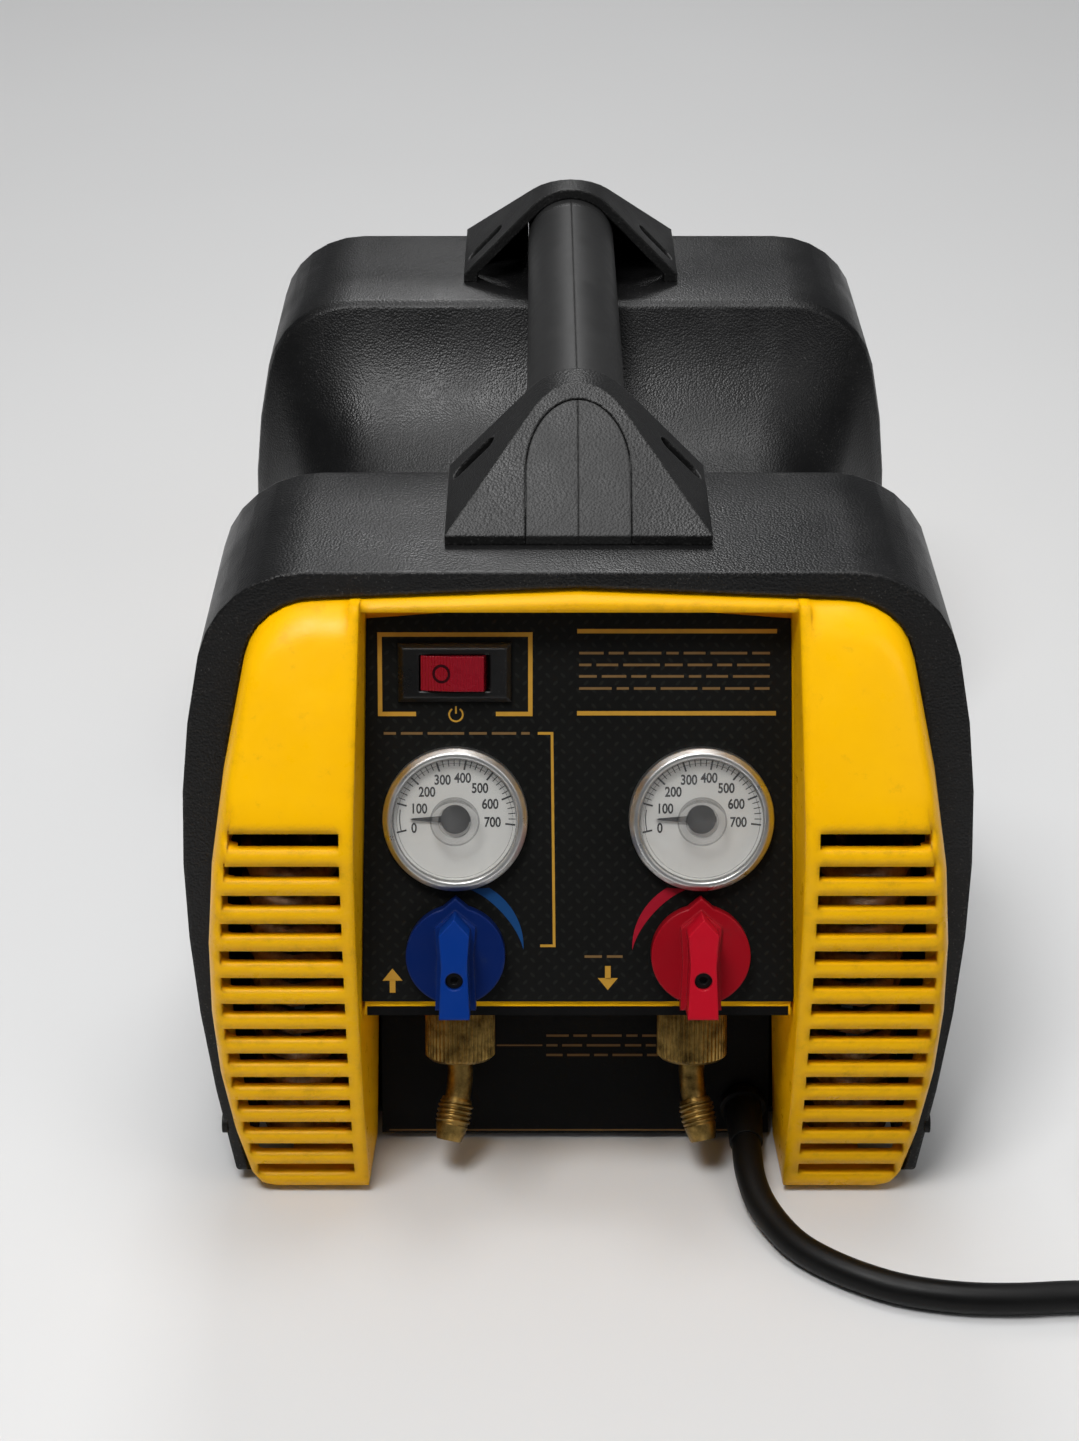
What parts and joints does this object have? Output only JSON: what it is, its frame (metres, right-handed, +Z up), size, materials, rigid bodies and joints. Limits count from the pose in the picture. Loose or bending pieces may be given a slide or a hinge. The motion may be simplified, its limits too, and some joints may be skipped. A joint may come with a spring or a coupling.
{
  "type": "refrigerant recovery machine",
  "caption": "Portable refrigerant recovery machine: waisted black shell with carry handle, yellow louvred ends, twin gauges, valve knobs, flare ports and power cord.",
  "frame": {"origin": "floor plane below the middle of the case, cord left out", "axes": "+X to the right seen from the front, +Y from the control face to the rear, +Z up"},
  "size_m": [0.4186, 0.4576, 0.2353],
  "materials": {
    "shell_plastic": "grained satin black",
    "panel_yellow": "semi-gloss moulded yellow",
    "label_black": "printed satin black",
    "handle_plastic": "leather-grained dark grey",
    "switch_plastic": "fine matt black",
    "rocker_red": "translucent red",
    "gauge_metal": "bright turned steel",
    "dial_white": "printed white",
    "lens_clear": "clear polycarbonate",
    "needle_black": "matt black",
    "knob_blue": "semi-gloss blue",
    "knob_red": "semi-gloss red",
    "brass": "dull handled brass",
    "copper": "copper tube",
    "steel": "plated steel",
    "cast_alloy": "as cast",
    "rubber": "matt black rubber",
    "fan_plastic": "moulded black"
  },
  "bodies": {
    "case": {"body_shell": "shell_plastic", "front_panel": "panel_yellow", "rear_panel": "panel_yellow", "control_plate": "label_black", "connector_plate": "label_black", "handle_left_half": "handle_plastic", "handle_right_half": "handle_plastic", "front_handle_bracket": "handle_plastic", "rear_handle_bracket": "handle_plastic", "panel_screws": "steel", "handle_screws": "steel", "chassis_tray": "steel", "capacitor": "steel", "rubber_feet": "rubber", "vibration_mounts": "rubber", "strain_relief": "rubber", "power_cord": "rubber", "cord_coil": "rubber", "plug": "rubber", "switch_housing": "switch_plastic", "pressure_switch": "switch_plastic", "cord_tie": "switch_plastic", "inlet_gauge_case": "gauge_metal", "outlet_gauge_case": "gauge_metal", "inlet_gauge_dial": "dial_white", "outlet_gauge_dial": "dial_white", "inlet_gauge_lens": "lens_clear", "outlet_gauge_lens": "lens_clear", "inlet_valve_body": "brass", "outlet_valve_body": "brass", "inlet_gauge_line": "copper", "outlet_gauge_line": "copper", "left_condenser_coil": "copper", "right_condenser_coil": "copper", "suction_line": "copper", "discharge_line": "copper", "crankcase": "cast_alloy", "left_cylinder": "cast_alloy", "right_cylinder": "cast_alloy", "left_cylinder_head": "cast_alloy", "right_cylinder_head": "cast_alloy", "motor_housing": "cast_alloy", "fan_shroud": "fan_plastic"},
    "rocker": {"switch_rocker": "rocker_red"},
    "inlet_valve": {"inlet_knob": "knob_blue", "inlet_knob_screw": "switch_plastic", "inlet_valve_stem": "steel"},
    "outlet_valve": {"outlet_knob": "knob_red", "outlet_knob_screw": "switch_plastic", "outlet_valve_stem": "steel"},
    "inlet_pointer": {"inlet_needle": "needle_black"},
    "outlet_pointer": {"outlet_needle": "needle_black"},
    "fan_rotor": {"fan": "fan_plastic", "motor_shaft": "steel"},
    "inlet_port": {"inlet_port_tube": "brass", "inlet_filter": "steel"},
    "outlet_port": {"outlet_port_tube": "brass", "outlet_filter": "steel"},
    "inlet_union": {"inlet_nut": "brass"},
    "outlet_union": {"outlet_nut": "brass"}
  },
  "joints": [
    {"name": "rocker_tilt", "type": "hinge", "parent": "case", "child": "rocker", "pos_m": [-0.0365, -0.14326, 0.16639], "axis": [0, 0.3746, 0.9272], "range_deg": [0, 16]},
    {"name": "inlet_knob_turn", "type": "hinge", "parent": "case", "child": "inlet_valve", "pos_m": [-0.0365, -0.17381, 0.08759], "axis": [0, -0.9272, 0.3746], "range_deg": [-90, 0]},
    {"name": "outlet_knob_turn", "type": "hinge", "parent": "case", "child": "outlet_valve", "pos_m": [0.0365, -0.17381, 0.08759], "axis": [0, -0.9272, 0.3746], "range_deg": [0, 90]},
    {"name": "inlet_pressure", "type": "hinge", "parent": "case", "child": "inlet_pointer", "pos_m": [-0.0365, -0.15852, 0.12542], "axis": [0, -0.9272, 0.3746], "range_deg": [-190, 0], "stiffness_Nm_per_rad": 0.0002},
    {"name": "outlet_pressure", "type": "hinge", "parent": "case", "child": "outlet_pointer", "pos_m": [0.0365, -0.15852, 0.12542], "axis": [0, -0.9272, 0.3746], "range_deg": [-190, 0], "stiffness_Nm_per_rad": 0.0002},
    {"name": "fan_spin", "type": "hinge", "parent": "case", "child": "fan_rotor", "pos_m": [0, 0.132, 0.08], "axis": [0, 1, 0], "continuous": true},
    {"name": "inlet_union_slide", "type": "slide", "parent": "case", "child": "inlet_port", "axis": [0, -0.3746, -0.9272], "range_m": [0, 0.0054]},
    {"name": "inlet_nut_turn", "type": "hinge", "parent": "inlet_port", "child": "inlet_union", "pos_m": [-0.0365, -0.15547, 0.04222], "axis": [0, -0.3746, -0.9272], "range_deg": [0, 1081]},
    {"name": "outlet_union_slide", "type": "slide", "parent": "case", "child": "outlet_port", "axis": [0, -0.3746, -0.9272], "range_m": [0, 0.0054]},
    {"name": "outlet_nut_turn", "type": "hinge", "parent": "outlet_port", "child": "outlet_union", "pos_m": [0.0365, -0.15547, 0.04222], "axis": [0, -0.3746, -0.9272], "range_deg": [0, 1081]}
  ],
  "couplings": [
    {"joint": "inlet_nut_turn", "follows": "inlet_union_slide", "rad_per_m": 3490.7},
    {"joint": "outlet_nut_turn", "follows": "outlet_union_slide", "rad_per_m": 3490.7}
  ]
}
